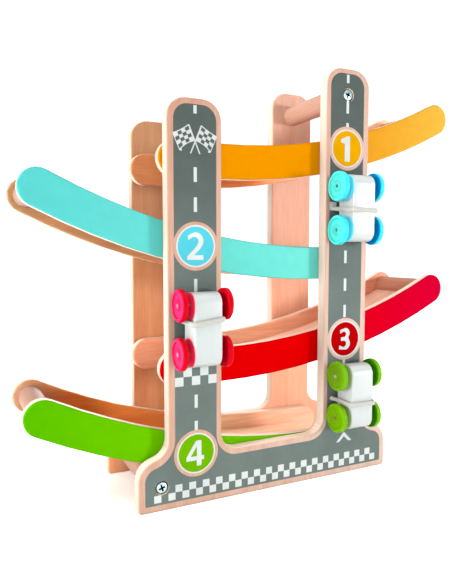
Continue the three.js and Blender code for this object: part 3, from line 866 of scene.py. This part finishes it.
def road_shoulder(post_x):
    """From the right foot's end up to the post: a round shoulder, and the hollow that it touches."""
    shoulder_x = ROAD_END_X - ROAD_SHOULDER_RADIUS
    hollow_x = post_x + ROAD_HOLLOW_RADIUS
    between = hollow_x - shoulder_x
    rise = math.sqrt((ROAD_SHOULDER_RADIUS + ROAD_HOLLOW_RADIUS) ** 2 - between ** 2)
    meeting = math.degrees(math.atan2(rise, between))
    shoulder = arc(shoulder_x, ROAD_SHOULDER_HEIGHT, ROAD_SHOULDER_RADIUS, 0, meeting)
    hollow = arc(hollow_x, ROAD_SHOULDER_HEIGHT + rise, ROAD_HOLLOW_RADIUS, 180 + meeting, 180)
    return shoulder + hollow[1:]


def post_top(left, right, top):
    radius = ROAD_TOP_RADIUS
    right_corner = arc(right - radius, top - radius, radius, 0, 90)
    left_corner = arc(left + radius, top - radius, radius, 90, 180)
    return right_corner + left_corner


def road_outline():
    corner = ROAD_END_RADIUS
    inner = ROAD_INNER_RADIUS
    right_outer = ROAD_RIGHT_X + ROAD_HALF_WIDTH
    right_inner = ROAD_RIGHT_X - ROAD_HALF_WIDTH
    left_outer = ROAD_LEFT_X - ROAD_HALF_WIDTH
    left_inner = ROAD_LEFT_X + ROAD_HALF_WIDTH
    points = arc(corner - ROAD_END_X, ROAD_BOTTOM + corner, corner, 180, 270, ROAD_END_STEPS)
    points += arc(ROAD_END_X - corner, ROAD_BOTTOM + corner, corner, 270, 360, ROAD_END_STEPS)
    points += road_shoulder(right_outer)
    points += post_top(right_inner, right_outer, ROAD_RIGHT_TOP)
    points += arc(right_inner - inner, ROAD_BASE_TOP + inner, inner, 0, -90)
    points += arc(left_inner + inner, ROAD_BASE_TOP + inner, inner, 270, 180)
    points += post_top(left_outer, left_inner, ROAD_LEFT_TOP)
    points += [(-x, z) for x, z in reversed(road_shoulder(-left_outer))]
    return points


# Holes in the panel that the print leaves open: the screws' counterbores and the elastic's holes
COUNTERBORE_RADIUS = 4.8
COUNTERBORE_STEPS = 40
ELASTIC_HOLE_RADIUS = 2.1
ELASTIC_HOLE_STEPS = 20
ELASTIC_HOLE_X = 12.65
ELASTIC_HOLE_LIFT = {"blue": 0.5, "red": 5.3, "green": -3.7}


def print_holes():
    holes = []
    for bar in CROSSBARS:
        screw = middle_of(f"{bar}_screw_front") / MM
        holes.append(circle(screw.x, screw.z, COUNTERBORE_RADIUS, COUNTERBORE_STEPS))
    for car in CAR_NAMES:
        centre = CAR_CENTRES[car] / MM
        z = centre.z + ELASTIC_HOLE_LIFT[car]
        for x in (centre.x - ELASTIC_HOLE_X, centre.x + ELASTIC_HOLE_X):
            holes.append(circle(x, z, ELASTIC_HOLE_RADIUS, ELASTIC_HOLE_STEPS))
    return holes


# Chequered strip along the base, with one square given up to the screw
STRIP_SQUARE = 5.0
STRIP_LEFT = -92.0
STRIP_BOTTOM = 6.2
STRIP_COLUMNS = 37
STRIP_SKIPPED_COLUMN = 1


def chequered_strip():
    return chequers(STRIP_LEFT, STRIP_BOTTOM, STRIP_SQUARE, STRIP_COLUMNS, STRIP_SKIPPED_COLUMN)


# Finish and start bands across the posts
BAND_SQUARE = 6.06
BAND_COLUMNS = 5
FINISH_BAND_BOTTOM = 82.7
START_BAND_BOTTOM = 202.5


def chequered_band(road_x, bottom):
    return chequers(road_x - BAND_COLUMNS * BAND_SQUARE / 2, bottom, BAND_SQUARE, BAND_COLUMNS)


# Centre-line dashes, as the lowest and highest point of each
DASH_WIDTH = 2.3
LEFT_DASHES = (
    (261.4, 266.6), (217.5, 227.0), (198.0, 207.5), (144.5, 154.0), (67.0, 76.0), (48.0, 58.0),
)
RIGHT_DASHES = (
    (296.0, 302.0), (274.0, 283.4), (254.0, 267.0), (163.1, 172.6), (142.1, 151.5), (122.0, 131.4),
    (82.0, 92.0),
)


def dashes():
    marks = []
    for road_x, spans in ((ROAD_LEFT_X, LEFT_DASHES), (ROAD_RIGHT_X, RIGHT_DASHES)):
        for bottom, top in spans:
            marks.append(rectangle(road_x - DASH_WIDTH / 2, bottom, road_x + DASH_WIDTH / 2, top))
    return marks


# Chevron on the base, under the right post
CHEVRON_X = 62.5
CHEVRON_TOP = 32.1
CHEVRON_TIP_HALF = 0.5
CHEVRON_HALF = 7.3
CHEVRON_DROP = 7.0
CHEVRON_STROKE = 3.0


def chevron():
    x, half, stroke = CHEVRON_X, CHEVRON_HALF, CHEVRON_STROKE
    low = CHEVRON_TOP - CHEVRON_DROP
    points = [(x - half, low), (x - half + stroke, low), (x, CHEVRON_TOP - stroke)]
    points += [(x + half - stroke, low), (x + half, low)]
    points += [(x + CHEVRON_TIP_HALF, CHEVRON_TOP), (x - CHEVRON_TIP_HALF, CHEVRON_TOP)]
    return points


# Crossed chequered flags: corners of the right one, measured from the road's centre line
FLAG_POLE_TOP = Vector((4.5, 254.0))
FLAG_POLE_LOW = Vector((0.8, 244.0))
FLAG_FLY_TOP = Vector((15.7, 247.7))
FLAG_FLY_LOW = Vector((11.2, 237.5))
FLAG_POLE_FOOT = Vector((-3.3, 235.7))
FLAG_POLE_WIDTH = 0.9
FLAG_CELLS = 4
FLAG_BORDER = 0.04
FLAG_MARGIN = 0.03
FLAG_STEPS = 8
FLAG_TIP = 1.7

# How far the middles of the flag's top and low edge are waved upwards
FLAG_TOP_WAVE = -0.5
FLAG_LOW_WAVE = 1.1


def flag_point(across, down):
    """A point of the right flag: across from pole to fly and down from its top edge, each from 0 to 1."""
    top = FLAG_POLE_TOP.lerp(FLAG_FLY_TOP, across)
    low = FLAG_POLE_LOW.lerp(FLAG_FLY_LOW, across)
    point = top.lerp(low, down)
    wave = FLAG_TOP_WAVE + (FLAG_LOW_WAVE - FLAG_TOP_WAVE) * down
    point.y += math.sin(math.pi * across) * wave
    return point.x, point.y


def flag_cells():
    """The dark cells of the right flag: every other one of a grid inside a white border."""
    pitch = (1 - 2 * FLAG_BORDER) / FLAG_CELLS
    cells = []
    for column in range(FLAG_CELLS):
        for row in range(column % 2, FLAG_CELLS, 2):
            first, top = FLAG_BORDER + column * pitch, FLAG_BORDER + row * pitch
            last, low = first + pitch, top + pitch
            corners = ((first, low), (last, low), (last, top), (first, top))
            cells.append([flag_point(across, down) for across, down in corners])
    return cells


def flag_outline():
    """The right flag's edge, a little outside its cells, with a small step beside the fly's low corner."""
    steps = [step / FLAG_STEPS for step in range(FLAG_STEPS + 1)]
    top = [flag_point(across, -FLAG_MARGIN) for across in reversed(steps)]
    low = [flag_point(across, 1 + FLAG_MARGIN) for across in steps]
    tip_x, tip_z = low.pop()
    step_x = tip_x - FLAG_TIP
    tip = [(step_x, tip_z + FLAG_TIP / 2), (step_x, tip_z - FLAG_TIP / 6), (tip_x, tip_z)]
    return low + tip + top


def flag_pole():
    foot, top = FLAG_POLE_FOOT, FLAG_POLE_TOP
    side = (top - foot).orthogonal().normalized() * FLAG_POLE_WIDTH / 2
    return [tuple(foot - side), tuple(top - side), tuple(top + side), tuple(foot + side)]


def add_flag(name, flip, white, grey):
    """A flag on the left road's centre line, mirrored there if flip is -1."""
    sheets = (
        (f"print_{name}_flag", [flag_outline()], MARK_LAYER, white, "white_paint"),
        (f"print_{name}_flag_pole", [flag_pole()], FLAG_LAYER, white, "white_paint"),
        (f"print_{name}_flag_cells", flag_cells(), FLAG_LAYER, grey, "birch"),
    )
    for sheet, outlines, layer, material, slot in sheets:
        placed = [[(ROAD_LEFT_X + flip * x, z) for x, z in outline] for outline in outlines]
        flat_print(sheet, placed, layer, material)


# Numbers in their discs, drawn around the disc's middle
DISC_RADIUS = 12.9
DISC_WHITE_RADIUS = 13.95
DISC_WOOD_RADIUS = 16.1
DISC_STEPS = 96
DISC_CENTRES = {1: (61.2, 248.3), 2: (-61.45, 175.55), 3: (61.8, 105.25), 4: (-61.7, 35.7)}
DISC_SLOTS = {1: "yellow_paint", 2: "blue_paint", 3: "red_paint", 4: "green_paint"}


def numeral_one():
    return [[(-2.2, -9.5), (2.6, -9.5), (2.6, 9.1), (0.2, 9.1), (-5.6, 6.5), (-5.4, 4.2), (-2.2, 3.2)]]


def numeral_two():
    outer = arc(-0.25, 3.5, 5.6, 118, -30, 16)
    foot = [(2.8, -1.9), (-1.4, -5.9), (5.35, -5.9), (5.35, -9.0), (-6.25, -9.0), (-6.25, -6.7), (-0.5, -1.1)]
    inner = arc(-1.2, 3.2, 3.0, -35, 115, 14)
    end = [(-5.5, 4.0), (-5.8, 6.9)]
    return [outer + foot + inner + end]


def numeral_three():
    upper_outer = arc(0.5, 4.3, 4.0, 100, -45, 14)
    lower_outer = arc(0.3, -3.7, 4.65, 45, -105, 14)
    low_end = [(-5.4, -7.7), (-5.1, -4.75)]
    lower_inner = arc(-1.2, -3.7, 2.5, -115, 75, 12)
    bar = [(-3.6, -1.3), (-3.6, 1.3)]
    upper_inner = arc(-1.0, 3.6, 2.15, -75, 110, 12)
    high_end = [(-4.2, 4.2), (-4.6, 6.9)]
    return [upper_outer + lower_outer + low_end + lower_inner + bar + upper_inner + high_end]


def numeral_four():
    outline = [(0.2, -8.7), (3.7, -8.7), (3.7, -4.9), (5.7, -4.9), (5.7, -2.1), (3.7, -2.1), (3.7, 8.7)]
    outline += [(-0.2, 8.7), (-7.4, -2.3), (-7.4, -4.9), (0.2, -4.9)]
    counter = [(0.3, -2.1), (-4.2, -2.1), (0.3, 4.9)]
    return [outline, counter]


NUMERALS = {1: numeral_one, 2: numeral_two, 3: numeral_three, 4: numeral_four}


def add_disc(number, white, wood_under):
    """A number on its coloured disc, with a white and a wooden ring round it."""
    x, z = DISC_CENTRES[number]
    paint = printed(f"disc_{number}_ink", DISC_PAINT[number], DISC_SPECKLE)
    sheets = (
        (f"print_ring_{number}_wood", DISC_WOOD_RADIUS, wood_under, "birch"),
        (f"print_ring_{number}_white", DISC_WHITE_RADIUS, white, "white_paint"),
        (f"print_disc_{number}", DISC_RADIUS, paint, DISC_SLOTS[number]),
    )
    for layer, (name, radius, material, slot) in enumerate(sheets, DISC_LAYER):
        flat_print(name, [circle(x, z, radius, DISC_STEPS)], layer, material)
    digits = [[(x + dx, z + dz) for dx, dz in outline] for outline in NUMERALS[number]()]
    flat_print(f"print_number_{number}", digits, NUMBER_LAYER, white)


def add_print():
    grey = printed("road_ink", ROAD_GREY, ROAD_SPECKLE, ROAD_TOP_PAINTED_SHADE)
    white = printed("white_ink", PRINT_WHITE, WHITE_SPECKLE, WHITE_TOP_PAINTED_SHADE)
    flat_print("print_road", [road_outline()] + print_holes(), ROAD_LAYER, grey)
    marks = {
        "chequered_strip": chequered_strip(),
        "finish_band": chequered_band(ROAD_LEFT_X, FINISH_BAND_BOTTOM),
        "start_band": chequered_band(ROAD_RIGHT_X, START_BAND_BOTTOM),
        "dashes": dashes(),
        "chevron": [chevron()],
    }
    for name, outlines in marks.items():
        flat_print(f"print_{name}", outlines, MARK_LAYER, white)
    for name, flip in (("left", -1), ("right", 1)):
        add_flag(name, flip, white, grey)
    for number in RAMP_NUMBERS:
        add_disc(number, white, NODES["front_panel"].data.materials[0])


# Wheels: a rounded tread, a raised rim round a shallow dish, and a small hub, in millimetres
WHEEL_SIDES = 72
TREAD_ROUND = 1.1
RIM_WIDTH = 2.1
RIM_ROUND = 0.25
RIM_SLOPE = 0.35
DISH_DEPTH = 0.7
DISH_FILLET = 0.7
HUB_RADIUS = 3.0
HUB_STEP = 0.35
HUB_ROUND = 0.15
HUB_FOOT = 0.5
HUB_FOOT_ROUND = 0.2
BORE_RADIUS = 1.35

# Both hands of wheels, with the way along x from each to the car's body
INWARD = {"left": 1, "right": -1}


def wheel_profile(radius, width):
    """The wheel's section as (distance from the axis, distance along it), with the dished face outwards."""
    half = width / 2
    rim = radius - RIM_WIDTH
    floor = half - DISH_DEPTH
    hub_top = floor + HUB_STEP
    points = [(BORE_RADIUS, -half)]
    points += arc(radius - TREAD_ROUND, TREAD_ROUND - half, TREAD_ROUND, -90, 0, 6)
    points += arc(radius - TREAD_ROUND, half - TREAD_ROUND, TREAD_ROUND, 0, 90, 6)
    points += arc(rim, half - RIM_ROUND, RIM_ROUND, 90, 160, 3)
    points += arc(rim - RIM_SLOPE - DISH_FILLET, floor + DISH_FILLET, DISH_FILLET, -20, -90, 4)
    points += arc(HUB_RADIUS + HUB_FOOT, floor + HUB_FOOT_ROUND, HUB_FOOT_ROUND, 270, 200, 2)
    points += arc(HUB_RADIUS, hub_top - HUB_ROUND, HUB_ROUND, 0, 90, 3)
    points += [(BORE_RADIUS, hub_top)]
    return points


def turned_mesh(profile):
    """A closed ring made by turning a section round the x axis."""
    shape = bmesh.new()
    loops = []
    for side in range(WHEEL_SIDES):
        angle = 2 * math.pi * side / WHEEL_SIDES
        points = [(x * MM, r * MM * math.cos(angle), r * MM * math.sin(angle)) for r, x in profile]
        loops.append([shape.verts.new(point) for point in points])
    join_loops(shape, loops, ring=True)
    return mesh_of(shape)


def add_wheel(car, end, hand, material):
    node = f"{car}_car_{end}_{hand}_wheel"
    low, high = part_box(node)
    radius = (high.z - low.z) / 2 / MM
    width = (high.x - low.x) / MM
    mesh = turned_mesh(wheel_profile(radius, width))
    if hand == "left":
        mesh.transform(Matrix.Rotation(math.pi, 4, "Z"))
    mesh.transform(Matrix.Translation((low + high) / 2))
    smooth_mesh(mesh)
    piece = add_piece(node + "_moulded", mesh, material, f"{car}_car_{end}_wheels")
    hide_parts(node)


# Car bodies: a block with almost round ends and softened edges, in millimetres
BODY_END_RADIUS = 7.5
BODY_END_STEPS = 12
BODY_EDGE_ROUND = 1.0
BODY_EDGE_STEPS = 4


def body_outline(half_depth, half_length, inset):
    """A rounded rectangle in the y-z plane, drawn in by an inset."""
    y, z = half_depth - BODY_END_RADIUS, half_length - BODY_END_RADIUS
    radius = BODY_END_RADIUS - inset
    points = []
    for turn, (corner_y, corner_z) in enumerate(((y, z), (-y, z), (-y, -z), (y, -z))):
        points += arc(corner_y, corner_z, radius, 90 * turn, 90 * turn + 90, BODY_END_STEPS)
    return points


def body_mesh(size):
    half_width, half_depth, half_length = (part / 2 / MM for part in size)
    slices = []
    for step in range(BODY_EDGE_STEPS + 1):
        angle = math.radians(90 * step / BODY_EDGE_STEPS)
        inset = BODY_EDGE_ROUND * (1 - math.sin(angle))
        x = half_width - BODY_EDGE_ROUND * (1 - math.cos(angle))
        slices.append((x, inset))
    slices += [(-x, inset) for x, inset in reversed(slices)]
    shape = bmesh.new()
    loops = []
    for x, inset in slices:
        outline = body_outline(half_depth, half_length, inset)
        loops.append([shape.verts.new((x * MM, y * MM, z * MM)) for y, z in outline])
    join_loops(shape, loops)
    return mesh_of(shape)


def add_car_body(car, material):
    node = f"{car}_car_body"
    low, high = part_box(node)
    mesh = body_mesh(high - low)
    mesh.transform(Matrix.Translation((low + high) / 2))
    smooth_mesh(mesh)
    piece = add_piece(node + "_painted", mesh, material, f"{car}_car")
    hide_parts(node)


# Elastic loops: the same route as the solid's, in millimetres from the car's middle
ELASTIC_RADIUS = 1.6
ELASTIC_SIDE_X = 11.2
ELASTIC_BACK_X = 0.7
ELASTIC_BACK_BEND = 3.8
ELASTIC_FRONT_BEND = 2.9
ELASTIC_FRONT_GAP = 0.3
ELASTIC_FRONT_LIFT = {"blue": (-1.5, -1.5), "red": (4.2, 6.6), "green": (-4.3, -4.5)}
CAR_STANDOFF = 11.05
BODY_UNDER_AXLE = 7.75
BODY_OVER_AXLE = 9.75
POST_BACK = CAR_STANDOFF + PANEL_THICKNESS / MM

# The cord: a braid, wider and thinner where it is pressed on the body, with a knot behind the post
ELASTIC_STEP = 0.4
ELASTIC_SIDES = 24
ELASTIC_BEND_STEPS = 6
ELASTIC_ROUNDING = 6
ELASTIC_WIDENING = 0.16
ELASTIC_THINNING = 0.3
BRAID_STRANDS = 8
BRAID_PITCH = 7.0
BRAID_DEPTH = 0.06
KNOT_RADIUS = 3.5
KNOT_CORE = 0.94
KNOT_RIDGE = 0.05
KNOT_RIDGES = 3
KNOT_TWIST = 4


def elastic_half(side, hole_lift, front_lift):
    """Half the loop, from behind the post to the body's front edge."""
    front = -(BODY_OVER_AXLE + ELASTIC_FRONT_GAP + (1 - ELASTIC_THINNING) * ELASTIC_RADIUS)
    bend = ELASTIC_BACK_BEND
    back = arc(ELASTIC_HOLE_X - bend, POST_BACK, bend, 90, 0, ELASTIC_BEND_STEPS)
    bend = ELASTIC_FRONT_BEND
    corner = arc(ELASTIC_SIDE_X - bend, front + bend, bend, 0, -90, ELASTIC_BEND_STEPS)
    points = [(ELASTIC_BACK_X, POST_BACK + ELASTIC_BACK_BEND, hole_lift)]
    points += [(x, y, hole_lift) for x, y in back]
    points.append((ELASTIC_HOLE_X, CAR_STANDOFF, hole_lift))
    points.append((ELASTIC_SIDE_X, BODY_UNDER_AXLE, (3 * hole_lift + front_lift) / 4))
    points.append((ELASTIC_SIDE_X, 0, (hole_lift + front_lift) / 2))
    points += [(x, y, front_lift) for x, y in corner]
    return [Vector((side * x, y, z)) for x, y, z in points]


def even_points(points):
    """The same route with points at even steps."""
    lengths = [0.0]
    for first, second in zip(points, points[1:]):
        lengths.append(lengths[-1] + (second - first).length)
    count = round(lengths[-1] / ELASTIC_STEP)
    result = []
    segment = 0
    for i in range(count + 1):
        along = lengths[-1] * i / count
        while segment < len(points) - 2 and lengths[segment + 1] < along:
            segment += 1
        span = lengths[segment + 1] - lengths[segment]
        result.append(points[segment].lerp(points[segment + 1], (along - lengths[segment]) / span))
    return result


def rounded(points):
    """Softens the corners of a route, with its ends kept."""
    for _ in range(ELASTIC_ROUNDING):
        middle = [(a + 2 * b + c) / 4 for a, b, c in zip(points, points[1:], points[2:])]
        points = [points[0]] + middle + [points[-1]]
    return points


def pressed(point):
    """How much the cord is pressed flat: not at all at the post, and fully from the body's middle on."""
    return min(1.0, max(0.0, (BODY_UNDER_AXLE - point.y) / BODY_UNDER_AXLE))


def braided_tube(shape, points):
    """Adds a tube along the points, with the diagonal relief of braided threads."""
    loops = []
    turns = BRAID_STRANDS / 2
    side = Vector((0, 0, 1))
    for i, point in enumerate(points):
        ahead = points[min(i + 1, len(points) - 1)] - points[max(i - 1, 0)]
        ahead.normalize()
        side = (side - ahead * side.dot(ahead)).normalized()
        across = ahead.cross(side)
        along = 2 * math.pi * i * ELASTIC_STEP / BRAID_PITCH
        wide = 1 + ELASTIC_WIDENING * pressed(point)
        thick = 1 - ELASTIC_THINNING * pressed(point)
        loop = []
        for k in range(ELASTIC_SIDES):
            angle = 2 * math.pi * k / ELASTIC_SIDES
            threads = math.sin(turns * angle + turns * along) * math.sin(turns * angle - turns * along)
            radius = ELASTIC_RADIUS - BRAID_DEPTH + BRAID_DEPTH * threads
            offset = radius * (wide * math.cos(angle) * side + thick * math.sin(angle) * across)
            loop.append(shape.verts.new((point + offset) * MM))
        loops.append(loop)
    join_loops(shape, loops)


def knot_ball(shape, centre):
    """Adds a knot as a ball with rounded ridges round it."""
    ball = bmesh.ops.create_uvsphere(shape, u_segments=40, v_segments=28, radius=1.0)
    for vertex in ball["verts"]:
        direction = vertex.co.normalized()
        turn = math.atan2(direction.z, direction.y)
        ridge = math.cos(KNOT_RIDGES * turn + KNOT_TWIST * direction.x)
        radius = KNOT_RADIUS * (KNOT_CORE + KNOT_RIDGE * ridge)
        vertex.co = (centre + radius * direction) * MM


def add_elastic(car, material):
    node = f"{car}_car_elastic"
    hole = ELASTIC_HOLE_LIFT[car]
    left, right = ELASTIC_FRONT_LIFT[car]
    route = elastic_half(-1, hole, left) + list(reversed(elastic_half(1, hole, right)))
    route = rounded(even_points(route))
    shape = bmesh.new()
    braided_tube(shape, even_points(route))
    knot_ball(shape, Vector((0, POST_BACK + ELASTIC_BACK_BEND, hole)))
    mesh = mesh_of(shape)
    centre = CAR_CENTRES[car]
    mesh.transform(Matrix.Translation(centre))
    mesh.shade_smooth()
    piece = add_piece(node + "_woven", mesh, material, None)
    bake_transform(piece)
    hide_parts(node)


def add_cars():
    cord = woven("elastic_weave")
    axle_steel = steel("axle_steel", AXLE_STEEL)
    for car in CAR_NAMES:
        add_car_body(car, white_painted(f"{car}_body_paint", car))
        moulded = {hand: plastic(f"{car}_{hand}_wheel", car, inward) for hand, inward in INWARD.items()}
        add_elastic(car, cord)
        for end in AXLE_ENDS:
            dress_node(f"{car}_car_{end}_axle", axle_steel)
            for hand in INWARD:
                add_wheel(car, end, hand, moulded[hand])


add_camera()
add_studio()
dress_frame()
add_print()
add_cars()
